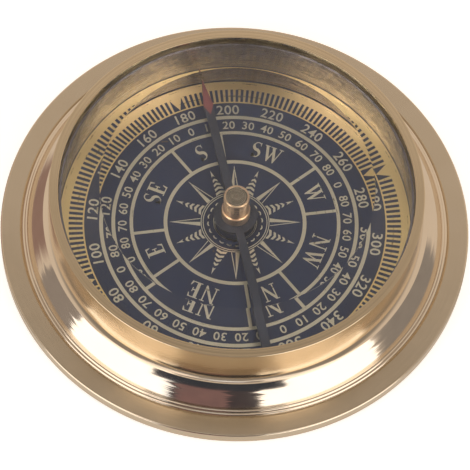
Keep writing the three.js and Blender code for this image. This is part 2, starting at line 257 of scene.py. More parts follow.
# Body ring. One brass turning that is polished on a buff: two small beads at its foot, a broad slope
# that is slightly crowned, a narrow shoulder that leans up to the bezel, and the neck that the bezel
# screws on.
FOOT_BEAD_WIDTH = 0.45 * MM
FOOT_BEAD_HEIGHT = 0.35 * MM
FINE_BEAD_WIDTH = 0.4 * MM
FINE_BEAD_HEIGHT = 0.35 * MM
SLOPE_WIDTH = 2.85 * MM
SLOPE_HEIGHT = 4.1 * MM
SLOPE_CROWN = math.radians(25)
SHOULDER_INNER = 31.85 * MM
SHOULDER_RISE = 0.3 * MM
SHOULDER_EASE = 0.25 * MM
NECK_RADIUS = 30.95 * MM
NECK_CHAMFER = 0.3 * MM
BEAD_STEPS = 8
SLOPE_STEPS = 24
POLISH_BRIGHT = "f3e7d7"
POLISH_DULL = "e9dccb"


def quarter_round(inner, low, width, height, steps):
    """Corners of a quarter ellipse that starts upright at its foot and ends level at its top."""
    angles = [math.pi / 2 * step / steps for step in range(steps + 1)]
    return [(inner + width * math.cos(angle), low + height * math.sin(angle)) for angle in angles]


# Polished brass: a clear warm mirror that wavers a little along the buffed tool lines.
polished_brass = turned_metal("polished brass", POLISH_BRIGHT, POLISH_DULL, roughness=0.1,
                              line_pitch=0.4 * MM, line_height=0.0012 * MM, spread=0.2, waver=0.035)
ring_low, ring_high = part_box("body_ring")
fine_bead_low = ring_low.z + FOOT_BEAD_HEIGHT
fine_bead_outer = ring_foot - FOOT_BEAD_WIDTH
slope_low = fine_bead_low + FINE_BEAD_HEIGHT
slope_foot = fine_bead_outer - FINE_BEAD_WIDTH
slope_radius = math.hypot(SLOPE_WIDTH, SLOPE_HEIGHT) / (2 * math.sin(SLOPE_CROWN / 2))
foot_facing = math.atan2(SLOPE_WIDTH, SLOPE_HEIGHT) - SLOPE_CROWN / 2
slope_facings = [foot_facing + SLOPE_CROWN * step / SLOPE_STEPS for step in range(SLOPE_STEPS + 1)]
slope_normals = [Vector((math.cos(facing), math.sin(facing))) for facing in slope_facings]
slope_middle = Vector((slope_foot, slope_low)) - slope_radius * slope_normals[0]
below_shoulder = [
    (WELL_RADIUS, ring_low.z),
    *quarter_round(fine_bead_outer, ring_low.z, FOOT_BEAD_WIDTH, FOOT_BEAD_HEIGHT, BEAD_STEPS),
    *quarter_round(slope_foot, fine_bead_low, FINE_BEAD_WIDTH, FINE_BEAD_HEIGHT, BEAD_STEPS)[1:],
    *[slope_middle + slope_radius * normal for normal in slope_normals[1:]],
]
shoulder_top = slope_low + SLOPE_HEIGHT + SHOULDER_RISE
neck = [
    (SHOULDER_INNER, shoulder_top),
    (NECK_RADIUS, shoulder_top),
    (NECK_RADIUS, ring_high.z - NECK_CHAMFER),
    (NECK_RADIUS - NECK_CHAMFER, ring_high.z),
    (WELL_RADIUS, ring_high.z),
]
ring_shape = turned(below_shoulder + neck, {len(below_shoulder) - 1: SHOULDER_EASE})
brass_ring = add_piece("brass_body_ring", ring_shape, [polished_brass])
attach(brass_ring, "case")
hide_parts("body_ring")


# Base screws. Four slotted steel screws go up through the base into the ring, under the felt; the
# solids already have their shape, so they only get their finish.
STEEL_BRIGHT = "b9babd"
STEEL_DULL = "8f9196"

# Zinc-plated steel: light grey, with a soft shine that is the same all ways.
zinc_steel = turned_metal("zinc-plated steel", STEEL_BRIGHT, STEEL_DULL, roughness=0.28,
                          line_pitch=0.2 * MM, line_height=0.002 * MM, spread=0)
for name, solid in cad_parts.items():
    if name.startswith("base_screw"):
        solid.material_slots[0].material = zinc_steel


# Dial plate. A thin brass disc, lacquered, whose unprinted metal is the gilt margin. It lies in the
# well of the base, held down by the sleeve.
GILT_BRIGHT = "f7dfad"
GILT_DULL = "eacf9b"

# Lacquered gilt brass: golden and satin, so that it glows where it faces a light and is dull elsewhere.
gilt_brass = turned_metal("lacquered gilt brass", GILT_BRIGHT, GILT_DULL, roughness=0.31,
                          line_pitch=0.5 * MM, line_height=0.001 * MM, spread=0)
dial_low, dial_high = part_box("dial_plate")
dial_outline = [
    (STUD_HOLE, dial_low.z),
    (dial_high.x, dial_low.z),
    (dial_high.x, dial_high.z),
    (STUD_HOLE, dial_high.z),
]
dial_disc = add_piece("dial_disc", turned(dial_outline), [gilt_brass])
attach(dial_disc, "case")
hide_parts("dial_plate")


# Dial ink. Navy ink screen-printed on the plate: the round field and the bars of the degree scale, which
# leave a gilt triangle pointing inwards at each quarter. A ring of the same ink at the foot of the sleeve
# is painted shade in the corner between the dial and the sleeve.
INK_THICKNESS = 0.02 * MM
FIELD_RADIUS = 23.7 * MM
BAR_INNER = 23.97 * MM
BAR_OUTER = 26.4 * MM
BAR_STEP = 2
BAR_WIDTH = 0.46 * MM
FULL_TURN = 360
QUARTER = 90
QUARTER_MARK_HALF = 2.6
SLEEVE_FOOT_SHADE_RING = (28.06 * MM, 28.44 * MM)
DIAL_NORTH = -63.5
INK_NAVY = "1b2a52"
INK_FADED = "25345c"
INK_WORN = "6d5c4b"
INK_GRAIN = 0.3 * MM
INK_PATCH = 6 * MM
INK_SPECK = 1.1 * MM
INK_RELIEF = 0.004 * MM
PRINT_MERGE = 0.0005 * MM


def lay_face(shape, corners, bearing):
    """Lays one flat face on the plate; its corners are (across, out) along a bearing of the dial."""
    turn = Matrix.Rotation(math.radians(DIAL_NORTH - bearing) - math.pi / 2, 3, "Z")
    verts = [shape.verts.new(turn @ Vector((across, out, dial_high.z))) for across, out in corners]
    return shape.faces.new(verts)


def lay_ring(shape, inner, outer):
    """Lays one flat ring on the plate."""
    ends = [shape.verts.new((inner, 0, dial_high.z)), shape.verts.new((outer, 0, dial_high.z))]
    edge = shape.edges.new(ends)
    bmesh.ops.spin(shape, geom=ends + [edge], cent=(0, 0, 0), axis=(0, 0, 1), angle=math.tau,
                   steps=TURN_STEPS, use_merge=True)


def thicken(shape, lift, thickness):
    """Raises flat faces off the plate and gives them their thickness."""
    bmesh.ops.remove_doubles(shape, verts=shape.verts, dist=PRINT_MERGE)
    bmesh.ops.recalc_face_normals(shape, faces=shape.faces)
    below = [face for face in shape.faces if face.normal.z < 0]
    bmesh.ops.reverse_faces(shape, faces=below)
    bmesh.ops.translate(shape, verts=shape.verts, vec=(0, 0, lift))
    grown = bmesh.ops.extrude_face_region(shape, geom=shape.faces[:], use_keep_orig=True)
    top = [item for item in grown["geom"] if isinstance(item, bmesh.types.BMVert)]
    bmesh.ops.translate(shape, verts=top, vec=(0, 0, thickness))
    bmesh.ops.recalc_face_normals(shape, faces=shape.faces)


# Screen ink on metal: dark navy, semi-matt, a little patchy, with a few specks where it has worn down
# to the brass.
screen_ink, tree = new_finish("navy screen ink")
place = put(tree, "ShaderNodeTexCoord")
patches = put(tree, "ShaderNodeTexNoise", {
    "Vector": place.outputs["Object"], "Scale": 1 / INK_PATCH, "Detail": 4})
field = put(tree, "ShaderNodeMix", {
    0: patches.outputs["Fac"], MIX_A: linear(INK_NAVY), MIX_B: linear(INK_FADED)}, data_type="RGBA")
specks = put(tree, "ShaderNodeTexNoise", {
    "Vector": place.outputs["Object"], "Scale": 1 / INK_SPECK, "Detail": 2})
worn = put(tree, "ShaderNodeMapRange", {
    "Value": specks.outputs["Fac"], "From Min": 0.74, "From Max": 0.8})
tone = put(tree, "ShaderNodeMix", {
    0: worn.outputs["Result"], MIX_A: field.outputs[MIX_RESULT], MIX_B: linear(INK_WORN)},
    data_type="RGBA")
grain = put(tree, "ShaderNodeTexNoise", {
    "Vector": place.outputs["Object"], "Scale": 1 / INK_GRAIN, "Detail": 3})
relief = put(tree, "ShaderNodeBump", {"Height": grain.outputs["Fac"], "Distance": INK_RELIEF})
gloss = put(tree, "ShaderNodeMapRange", {
    "Value": patches.outputs["Fac"], "To Min": 0.38, "To Max": 0.55})
paint = put(tree, "ShaderNodeBsdfPrincipled", {
    "Base Color": tone.outputs[MIX_RESULT], "Roughness": gloss.outputs["Result"],
    "Normal": relief.outputs["Normal"], "IOR": 1.5, "Specular IOR Level": 0.3})
put(tree, "ShaderNodeOutputMaterial", {"Surface": paint.outputs["BSDF"]})

ink = bmesh.new()
lay_ring(ink, STUD_HOLE, FIELD_RADIUS)
# Painted shade: a dark ring of ink where the sleeve's foot meets the dial.
lay_ring(ink, *SLEEVE_FOOT_SHADE_RING)
half_bar = BAR_WIDTH / 2
for bearing in range(0, FULL_TURN, BAR_STEP):
    off_quarter = (bearing + QUARTER / 2) % QUARTER - QUARTER / 2
    if abs(off_quarter) > QUARTER_MARK_HALF:
        lay_face(ink, [(-half_bar, BAR_INNER), (half_bar, BAR_INNER), (half_bar, BAR_OUTER),
                       (-half_bar, BAR_OUTER)], bearing)
mark_half = math.radians(QUARTER_MARK_HALF) * BAR_INNER
for bearing in range(0, FULL_TURN, QUARTER):
    for side in (-1, 1):
        lay_face(ink, [(0, BAR_INNER), (side * mark_half, BAR_INNER),
                       (side * mark_half, BAR_OUTER)], bearing)
thicken(ink, 0, INK_THICKNESS)
dial_ink = add_piece("dial_ink", ink, [screen_ink])
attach(dial_ink, "case")


# Gilt rings and dividers. Three rings part the dial's bands, and eight short bars part the letters:
# the four quarters get narrow boxes and the corners between them wide ones.
PRINT_THICKNESS = 0.02 * MM
PRINT_BRIGHT = "e6e2da"
PRINT_DULL = "d6d0c4"
ROSE_RING = (11.55 * MM, 12.2 * MM)
LETTER_RING = (17.4 * MM, 18.0 * MM)
QUADRANT_RING = (20.45 * MM, 21.1 * MM)
DIVIDER_WIDTH = 0.55 * MM
DIVIDER_OFF_QUARTER = 15

# Pale gilt print: thin metal foil, nearly silver, with a soft shine and a slight mottle.
pale_gilt = turned_metal("pale gilt print", PRINT_BRIGHT, PRINT_DULL, roughness=0.32,
                         line_pitch=0.5 * MM, line_height=0.001 * MM, spread=0)
rings = bmesh.new()
for inner, outer in (ROSE_RING, LETTER_RING, QUADRANT_RING):
    lay_ring(rings, inner, outer)
half_divider = DIVIDER_WIDTH / 2
for quarter in range(0, FULL_TURN, QUARTER):
    for side in (-DIVIDER_OFF_QUARTER, DIVIDER_OFF_QUARTER):
        lay_face(rings, [(-half_divider, ROSE_RING[1]), (half_divider, ROSE_RING[1]),
                         (half_divider, LETTER_RING[0]), (-half_divider, LETTER_RING[0])],
                 quarter + side)
thicken(rings, INK_THICKNESS, PRINT_THICKNESS)
dial_rings = add_piece("dial_rings", rings, [pale_gilt])
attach(dial_rings, "case")


# Numbers. Degrees every twenty round the outside, and each quadrant counted from 0 at north and
# south in tens inside them, all with their tops outwards.
DEGREE_HEIGHT = 1.8 * MM
DEGREE_FOOT = 21.42 * MM
DEGREE_STEP = 20
QUADRANT_HEIGHT = 1.5 * MM
QUADRANT_FOOT = 18.5 * MM
QUADRANT_STEP = 10
STROKE_GAIN = 0.012
DIGIT_SPACING = 1.06
CURVE_STEPS = 3
FONT_DIGIT = 0.7


def lay_number(shape, number, height, foot, bearing):
    """Sets a number on the dial, as wide as the lettering makes it, with its foot at a radius."""
    words = bpy.data.curves.new("number", "FONT")
    words.body = str(number)
    words.align_x = "CENTER"
    words.offset = STROKE_GAIN
    words.space_character = DIGIT_SPACING
    words.resolution_u = CURVE_STEPS
    lettering = bpy.data.objects.new("number", words)
    flat = bpy.data.meshes.new_from_object(lettering)
    flat.transform(Matrix.Scale(height / FONT_DIGIT, 4))
    turn = Matrix.Rotation(math.radians(DIAL_NORTH - bearing) - math.pi / 2, 4, "Z")
    flat.transform(turn @ Matrix.Translation((0, foot, dial_high.z)))
    shape.from_mesh(flat)
    bpy.data.objects.remove(lettering)
    bpy.data.meshes.remove(flat)


numbers = bmesh.new()
for degrees in range(DEGREE_STEP, FULL_TURN + 1, DEGREE_STEP):
    lay_number(numbers, degrees, DEGREE_HEIGHT, DEGREE_FOOT, degrees)
for bearing in range(0, FULL_TURN, QUADRANT_STEP):
    off_meridian = abs((bearing + QUARTER) % (2 * QUARTER) - QUARTER)
    shown = off_meridian % QUARTER
    lay_number(numbers, shown, QUADRANT_HEIGHT, QUADRANT_FOOT, bearing)
thicken(numbers, INK_THICKNESS, PRINT_THICKNESS)
dial_numbers = add_piece("dial_numbers", numbers, [pale_gilt])
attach(dial_numbers, "case")


# Wind letters. Roman capitals for the eight winds, drawn with thick and thin strokes and flat serifs.
# Outlines are in letter heights, from the left of the baseline.
LETTER_HEIGHT = 3.1 * MM
LETTER_FOOT = 13.2 * MM
LETTER_GAP = 0.12
OUTLINES = {
    "N": [(0, 0), (0.27, 0), (0.27, 0.05), (0.17, 0.05), (0.17, 0.78), (0.65, 0), (0.73, 0),
          (0.73, 0.95), (0.83, 0.95), (0.83, 1), (0.56, 1), (0.56, 0.95), (0.66, 0.95), (0.66, 0.25),
          (0.2, 1), (0, 1), (0, 0.95), (0.1, 0.95), (0.1, 0.05), (0, 0.05)],
    "E": [(0, 0), (0.6, 0), (0.64, 0.27), (0.6, 0.27), (0.5, 0.06), (0.28, 0.06), (0.28, 0.48),
          (0.41, 0.48), (0.41, 0.38), (0.46, 0.38), (0.46, 0.65), (0.41, 0.65), (0.41, 0.55),
          (0.28, 0.55), (0.28, 0.94), (0.48, 0.94), (0.56, 0.75), (0.6, 0.75), (0.58, 1), (0, 1),
          (0, 0.95), (0.1, 0.95), (0.1, 0.05), (0, 0.05)],
    "W": [(0.06, 0.95), (0.33, 0), (0.38, 0), (0.55, 0.56), (0.7, 0), (0.75, 0), (1, 0.95), (1.08, 0.95),
          (1.08, 1), (0.82, 1), (0.82, 0.95), (0.94, 0.95), (0.775, 0.3), (0.6, 0.95), (0.66, 0.95),
          (0.66, 1), (0.34, 1), (0.34, 0.95), (0.43, 0.95), (0.505, 0.69), (0.405, 0.29), (0.22, 0.95),
          (0.29, 0.95), (0.29, 1), (0, 1), (0, 0.95)],
}
BOWL_RADIUS = 0.235
BOWL_REACH = 0.21
BOWL_SWEEP = 230
BOWL_STEPS = 14
SPINE_THIN = 0.06
SPINE_THICK = 0.19
SPINE_SWELL = 0.7
SPINE_SERIF = 0.3
S_WIDTH = 0.5


def spine_of_s():
    """The two bowls of an S from its upper end to its lower, as (place, half stroke) pairs; the stroke is
    thickest where they meet."""
    points = []
    for step in range(-BOWL_STEPS, BOWL_STEPS + 1):
        share = abs(step) / BOWL_STEPS
        upper = 1 if step < 0 else -1
        angle = math.radians(-upper * QUARTER - share * BOWL_SWEEP)
        middle = Vector((S_WIDTH / 2, 0.5 + upper * BOWL_RADIUS))
        place = middle + Vector((BOWL_REACH * math.cos(angle), BOWL_RADIUS * math.sin(angle)))
        swell = max(0, math.cos(share * math.pi)) ** SPINE_SWELL
        stroke = SPINE_THIN + (SPINE_THICK - SPINE_THIN) * swell
        points.append((place, stroke / 2))
    return points


def letter_face(shape, letter, left, bearing):
    """Lays one letter with its left side at a distance across from the bearing."""
    if letter in OUTLINES:
        outline = [Vector(corner) for corner in OUTLINES[letter]]
    else:
        spine = spine_of_s()
        sides = {1: [], -1: []}
        for number, (place, half) in enumerate(spine):
            before = spine[max(number - 1, 0)][0]
            after = spine[min(number + 1, len(spine) - 1)][0]
            along = (after - before).normalized()
            if number in (0, len(spine) - 1):
                half = SPINE_SERIF / 2
                along = Vector((1 if number else -1, 0))
            for side in sides:
                sides[side].append(place + side * half * Vector((-along.y, along.x)))
        outline = sides[1] + sides[-1][::-1]
    start = Vector((left, LETTER_FOOT))
    lay_face(shape, [start + point * LETTER_HEIGHT for point in outline], bearing)


def letter_width(letter):
    """Width of a letter in metres."""
    outline = OUTLINES.get(letter)
    return LETTER_HEIGHT * (max(x for x, _ in outline) if outline else S_WIDTH)


letters = bmesh.new()
for number, wind in enumerate(("N", "NE", "E", "SE", "S", "SW", "W", "NW")):
    gap = LETTER_GAP * LETTER_HEIGHT
    left = -(sum(letter_width(letter) for letter in wind) + gap * (len(wind) - 1)) / 2
    for letter in wind:
        letter_face(letters, letter, left, number * QUARTER / 2)
        left += letter_width(letter) + gap
thicken(letters, INK_THICKNESS, PRINT_THICKNESS)
dial_letters = add_piece("dial_letters", letters, [pale_gilt])
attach(dial_letters, "case")


# Rose. Sixteen gilt points round a pair of fine circles: banded ones at the eight winds, and between
# them ones that are solid on one side and drawn in outline on the other. A second pair of circles and
# a ring of short dashes fill the middle.
ROSE_FOOT = 5.92 * MM
BANDED_TIP = 10.9 * MM
BANDED_HALF = 0.95 * MM
BANDED_SOLID = 9.5 * MM
BAND_LENGTH = 0.45 * MM
BAND_STEP = 0.85 * MM
BAND_POINT = 0.3 * MM
SPLIT_TIP = 11.2 * MM
SPLIT_HALF = 0.75 * MM
SPLIT_LINE = 0.13 * MM
SPLIT_END = 1.04 * MM
FINE_RINGS = (
    (3.42 * MM, 3.52 * MM),
    (3.64 * MM, 3.74 * MM),
    (5.38 * MM, 5.52 * MM),
    (5.73 * MM, 5.87 * MM),
)
DASHES = 20
DASH_HALF = 0.42 * MM
DASH_INNER = 4.42 * MM
DASH_OUTER = 4.66 * MM
DASH_POINT = 0.15 * MM
ROSE_POINTS = 16


def banded_half(radius):
    """Half the width of a banded point at a radius."""
    return BANDED_HALF * (BANDED_TIP - radius) / (BANDED_TIP - ROSE_FOOT)


rose = bmesh.new()
for inner, outer in FINE_RINGS:
    lay_ring(rose, inner, outer)
for number in range(ROSE_POINTS):
    bearing = FULL_TURN / ROSE_POINTS * number
    if number % 2:
        lay_face(rose, [(0, ROSE_FOOT), (0, SPLIT_TIP), (-SPLIT_HALF, ROSE_FOOT)], bearing)
        lay_face(rose, [(SPLIT_HALF, ROSE_FOOT), (0, SPLIT_TIP), (0, SPLIT_TIP - SPLIT_END),
                        (SPLIT_HALF - SPLIT_LINE, ROSE_FOOT)], bearing)
        continue
    start = ROSE_FOOT
    while start < BANDED_SOLID - BAND_LENGTH:
        end = start + BAND_LENGTH
        start_half = banded_half(start)
        end_half = banded_half(end)
        lay_face(rose, [(-start_half, start), (0, start + BAND_POINT), (start_half, start),
                        (end_half, end), (0, end + BAND_POINT), (-end_half, end)], bearing)
        start += BAND_STEP
    solid_half = banded_half(BANDED_SOLID)
    lay_face(rose, [(-solid_half, BANDED_SOLID), (0, BANDED_SOLID + BAND_POINT),
                    (solid_half, BANDED_SOLID), (0, BANDED_TIP)], bearing)
for number in range(DASHES):
    lay_face(rose, [(-DASH_HALF, DASH_INNER), (0, DASH_INNER + DASH_POINT), (DASH_HALF, DASH_INNER),
                    (DASH_HALF, DASH_OUTER), (0, DASH_OUTER + DASH_POINT), (-DASH_HALF, DASH_OUTER)],
             FULL_TURN / DASHES * number)
thicken(rose, INK_THICKNESS, PRINT_THICKNESS)
dial_rose = add_piece("dial_rose", rose, [pale_gilt])
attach(dial_rose, "case")


# Pivot post and point. A brass stud screwed through the dial carries a hardened steel pin; both are
# inside the needle's cap, and the solids keep their shape.

# Turned brass: a soft shine and plain tool lines.
post_brass = turned_metal("turned brass stud", SATIN_BRIGHT, SATIN_DULL, roughness=0.25,
                          line_pitch=0.2 * MM, line_height=0.003 * MM, spread=0.2)
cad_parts["pivot_post"].material_slots[0].material = post_brass
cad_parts["pivot_pin"].material_slots[0].material = zinc_steel


# Spacer sleeve. A thin brass tube, bored with a fine feed and left unpolished, that holds the dial down
# and the glass up. Its bore, the wall that is seen through the glass, widens upwards. Its blue-grey
# colour is partly the grey of the metal and partly painted reflection: the darker bluish tint stands in
# for the navy dial that the wall mirrors.
SLEEVE_INNER = 28.2 * MM
SLEEVE_MOUTH = 29.3 * MM
SLEEVE_CHAMFER = 0.25 * MM
SLEEVE_GREY_PAINTED_NAVY_LIGHT = "8c889c"
SLEEVE_GREY_PAINTED_NAVY_DARK = "706c7c"

# Bored brass: feed lines that smear what it mirrors up and down the wall; its blue-grey colour is partly
# painted reflection of the navy dial.
sleeve_brass = turned_metal("bored sleeve brass with painted navy reflection", SLEEVE_GREY_PAINTED_NAVY_LIGHT, SLEEVE_GREY_PAINTED_NAVY_DARK, roughness=0.26,
                            line_pitch=0.35 * MM, line_height=0.004 * MM, spread=0.95, bare=0.85)
sleeve_low, sleeve_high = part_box("spacer_sleeve")
sleeve_outline = [
    (SLEEVE_INNER + SLEEVE_CHAMFER, sleeve_low.z),
    (sleeve_high.x, sleeve_low.z),
    (sleeve_high.x, sleeve_high.z),
    (SLEEVE_MOUTH, sleeve_high.z),
    (SLEEVE_INNER, sleeve_low.z + SLEEVE_CHAMFER),
]
brass_sleeve = add_piece("brass_sleeve", turned(sleeve_outline), [sleeve_brass])
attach(brass_sleeve, "case")
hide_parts("spacer_sleeve")


# Glass bedding. A thin ring of brown rubber, cut from sheet and squeezed under the rim of the glass; it
# shows as a dark line just inside the bezel's lip, and its dark brown is partly painted shade under that
# lip.
GASKET_INNER = 29.75 * MM
GASKET_EDGE = 0.08 * MM
GASKET_SQUEEZE = 0.02 * MM
RUBBER_DARK = "62564a"
RUBBER_PALE = "796d5f"
RUBBER_GRAIN = 0.4 * MM

# Sheet rubber: brown, matt, slightly mottled; its darkness is partly painted shade under the bezel's lip.
brown_rubber, tree = new_finish("brown sheet rubber")
place = put(tree, "ShaderNodeTexCoord")
mottle = put(tree, "ShaderNodeTexNoise", {
    "Vector": place.outputs["Object"], "Scale": 1 / RUBBER_GRAIN})
tone = put(tree, "ShaderNodeMix", {
    0: mottle.outputs["Fac"], MIX_A: linear(RUBBER_DARK), MIX_B: linear(RUBBER_PALE)}, data_type="RGBA")
rubber = put(tree, "ShaderNodeBsdfPrincipled", {
    "Base Color": tone.outputs[MIX_RESULT], "Roughness": 0.8})
put(tree, "ShaderNodeOutputMaterial", {"Surface": rubber.outputs["BSDF"]})

gasket_low, gasket_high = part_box("glass_gasket")
gasket_top = gasket_high.z - GASKET_SQUEEZE
gasket_outline = [
    (GASKET_INNER, gasket_low.z),
    (gasket_high.x, gasket_low.z),
    (gasket_high.x, gasket_top),
    (GASKET_INNER, gasket_top),
]
rubber_shape = turned(gasket_outline, {0: GASKET_EDGE, 3: GASKET_EDGE})
rubber_ring = add_piece("rubber_ring", rubber_shape, [brown_rubber])
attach(rubber_ring, "case")
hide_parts("glass_gasket")


# Glass. A thick disc of plate glass with a flat top, one broad polished bevel and a ground edge,
# bedded on the rubber and held by the bezel's lip.
GLASS_EDGE = 1.3 * MM
GLASS_FLAT_RADIUS = 23.15 * MM
FACET_EASE = 0.06 * MM
EDGE_EASE = 0.12 * MM
GLASS_TINT = "f6faf9"
EDGE_TINT = "e2ebe4"
GROUND_WIDTH = 0.1 * MM
GROUND_CLARITY = 0.25
GROUND_ROUGHNESS = 0.4

# Plate glass: clear and faintly green, with a frosted band where the edge was ground to size.
plate_glass, tree = new_finish("bevelled plate glass")
place = put(tree, "ShaderNodeTexCoord")
flat = put(tree, "ShaderNodeVectorMath", {
    0: place.outputs["Object"], 1: (1, 1, 0)}, operation="MULTIPLY")
radius = put(tree, "ShaderNodeVectorMath", {0: flat.outputs["Vector"]}, operation="LENGTH")
glass_low, glass_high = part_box("glass_crystal")
ground = put(tree, "ShaderNodeMapRange", {
    "Value": radius.outputs["Value"], "From Min": glass_high.x - GROUND_WIDTH,
    "From Max": glass_high.x})
tone = put(tree, "ShaderNodeMix", {
    0: ground.outputs["Result"], MIX_A: linear(GLASS_TINT), MIX_B: linear(EDGE_TINT)}, data_type="RGBA")
frost = put(tree, "ShaderNodeMath", {
    0: ground.outputs["Result"], 1: GROUND_ROUGHNESS}, operation="MULTIPLY")
clarity = put(tree, "ShaderNodeMapRange", {
    "Value": ground.outputs["Result"], "To Min": 1, "To Max": GROUND_CLARITY})
glass = put(tree, "ShaderNodeBsdfPrincipled", {
    "Base Color": tone.outputs[MIX_RESULT], "Roughness": frost.outputs["Value"],
    "Transmission Weight": clarity.outputs["Result"], "IOR": 1.52})
put(tree, "ShaderNodeOutputMaterial", {"Surface": glass.outputs["BSDF"]})

glass_outline = [
    (0, glass_low.z),
    (glass_high.x, glass_low.z),
    (glass_high.x, glass_low.z + GLASS_EDGE),
    (GLASS_FLAT_RADIUS, glass_high.z),
    (0, glass_high.z),
]
glass_shape = turned(glass_outline, {1: EDGE_EASE, 2: EDGE_EASE, 3: FACET_EASE})
bevelled_glass = add_piece("bevelled_glass", glass_shape, [plate_glass], sharp_angle=20)
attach(bevelled_glass, "case")
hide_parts("glass_crystal")


# Bezel. A tall polished brass band, slightly tapered, that screws down on the body ring's neck and
# holds the glass under its thin lip.
BEZEL_BORE = 31.05 * MM
BEZEL_TOP_RADIUS = 31.6 * MM
LIP_OPENING = 30.05 * MM
LIP_THICKNESS = 0.55 * MM
LIP_ROUND = 0.1 * MM
LIP_EDGE = 0.08 * MM
BEZEL_BRIGHT = "efdfc4"
BEZEL_DULL = "dfcdb0"

# Turned bezel brass: bright, with tool lines deep enough to break up what it mirrors.
bezel_brass = turned_metal("turned bezel brass", BEZEL_BRIGHT, BEZEL_DULL, roughness=0.12,
                           line_pitch=0.35 * MM, line_height=0.01 * MM, spread=0.3, waver=0.05)
bezel_low, bezel_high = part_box("bezel_ring")
lip_bottom = bezel_high.z - LIP_THICKNESS
bezel_outline = [
    (BEZEL_BORE, bezel_low.z),
    (SHOULDER_INNER, bezel_low.z),
    (BEZEL_TOP_RADIUS, bezel_high.z),
    (LIP_OPENING, bezel_high.z),
    (LIP_OPENING, lip_bottom),
    (BEZEL_BORE, lip_bottom),
]
bezel_shape = turned(bezel_outline, {2: LIP_ROUND, 3: LIP_EDGE})
brass_bezel = add_piece("brass_bezel", bezel_shape, [bezel_brass])
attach(brass_bezel, "case")
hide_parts("bezel_ring")


# Needle. A flat steel blade stamped with a disc at its middle and a dart head at the end that points
# north, then blackened; the head is dipped in red enamel down to a point.
NEEDLE_BEARING = 15.5
BLADE_WIDTH = 1.5 * MM
DISC_RADIUS = 3.7 * MM
TIP_RADIUS = 27.75 * MM
HEAD_WIDTH = 1.75 * MM
HEAD_TAPER_LENGTH = 5.75 * MM
HEAD_FLARE_LENGTH = 1.6 * MM
TAIL_RADIUS = 26 * MM
BLADE_EASE = 0.07 * MM
RIM_ANGLE = math.radians(57)
RED_POINT = 20.2 * MM
DISC_STEPS = 40
STEEL_BLACK = "2a324c"
STEEL_GREY = "3b4460"
STEEL_GRAIN = 0.7 * MM
ENAMEL_RED = "834b57"
ENAMEL_DARK = "6f3c4a"
ENAMEL_PATCH = 1.5 * MM

# Blackened steel: dark blue-grey with a dull sheen and a faint rolled grain.
black_steel, tree = new_finish("blackened steel")
place = put(tree, "ShaderNodeTexCoord")
grain = put(tree, "ShaderNodeTexNoise", {
    "Vector": place.outputs["Object"], "Scale": 1 / STEEL_GRAIN, "Detail": 5})
tone = put(tree, "ShaderNodeMix", {
    0: grain.outputs["Fac"], MIX_A: linear(STEEL_BLACK), MIX_B: linear(STEEL_GREY)}, data_type="RGBA")
sheen = put(tree, "ShaderNodeMapRange", {
    "Value": grain.outputs["Fac"], "To Min": 0.38, "To Max": 0.55})
steel = put(tree, "ShaderNodeBsdfPrincipled", {
    "Base Color": tone.outputs[MIX_RESULT], "Roughness": sheen.outputs["Result"], "Metallic": 0.3})
put(tree, "ShaderNodeOutputMaterial", {"Surface": steel.outputs["BSDF"]})

# Dipped enamel: a dull deep red, half glossy, thicker and darker where it pooled.
red_enamel, tree = new_finish("dipped red enamel")
place = put(tree, "ShaderNodeTexCoord")
pools = put(tree, "ShaderNodeTexNoise", {
    "Vector": place.outputs["Object"], "Scale": 1 / ENAMEL_PATCH})
tone = put(tree, "ShaderNodeMix", {
    0: pools.outputs["Fac"], MIX_A: linear(ENAMEL_RED), MIX_B: linear(ENAMEL_DARK)}, data_type="RGBA")
enamel = put(tree, "ShaderNodeBsdfPrincipled", {
    "Base Color": tone.outputs[MIX_RESULT], "Roughness": 0.35, "IOR": 1.5})
put(tree, "ShaderNodeOutputMaterial", {"Surface": enamel.outputs["BSDF"]})

blade_low, blade_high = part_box("needle_blade")
half_blade = BLADE_WIDTH / 2
spread = math.asin(half_blade / DISC_RADIUS)
disc_step = (math.pi - 2 * spread) / DISC_STEPS
disc_angles = [spread + disc_step * step for step in range(DISC_STEPS + 1)]
disc_side = [(DISC_RADIUS * math.sin(angle), -DISC_RADIUS * math.cos(angle)) for angle in disc_angles]
head_shoulder = TIP_RADIUS - HEAD_TAPER_LENGTH
head_half = HEAD_WIDTH / 2
right_edge = [
    (half_blade, -TAIL_RADIUS),
    *disc_side,
    (half_blade, head_shoulder - HEAD_FLARE_LENGTH),
    (head_half, head_shoulder),
]
left_edge = [(-across, along) for across, along in reversed(right_edge)]
blade_outline = [*right_edge, (0, TIP_RADIUS), *left_edge]
blade = bmesh.new()
blade.faces.new([blade.verts.new((across, along, blade_low.z)) for across, along in blade_outline])
red_slope = (head_shoulder - RED_POINT) / head_half
for side in (-1, 1):
    bmesh.ops.bisect_plane(blade, geom=blade.verts[:] + blade.edges[:] + blade.faces[:],
                           plane_co=(0, RED_POINT, 0), plane_no=(-side * red_slope, 1, 0))
grown = bmesh.ops.extrude_face_region(blade, geom=blade.faces[:], use_keep_orig=True)
top = [item for item in grown["geom"] if isinstance(item, bmesh.types.BMVert)]
bmesh.ops.translate(blade, verts=top, vec=(0, 0, blade_high.z - blade_low.z))
bmesh.ops.recalc_face_normals(blade, faces=blade.faces)
closed = [edge for edge in blade.edges if len(edge.link_faces) == 2]
rims = [edge for edge in closed if edge.calc_face_angle() > RIM_ANGLE]
flat_rims = [edge for edge in rims if abs(edge.verts[0].co.z - edge.verts[1].co.z) < BLADE_EASE]
bmesh.ops.bevel(blade, geom=flat_rims, offset=BLADE_EASE, offset_type="OFFSET", affect="EDGES",
                segments=2, profile=0.5, material=-1)
for face in blade.faces:
    middle = face.calc_center_median()
    face.material_index = 1 if middle.y > RED_POINT + red_slope * abs(middle.x) else 0
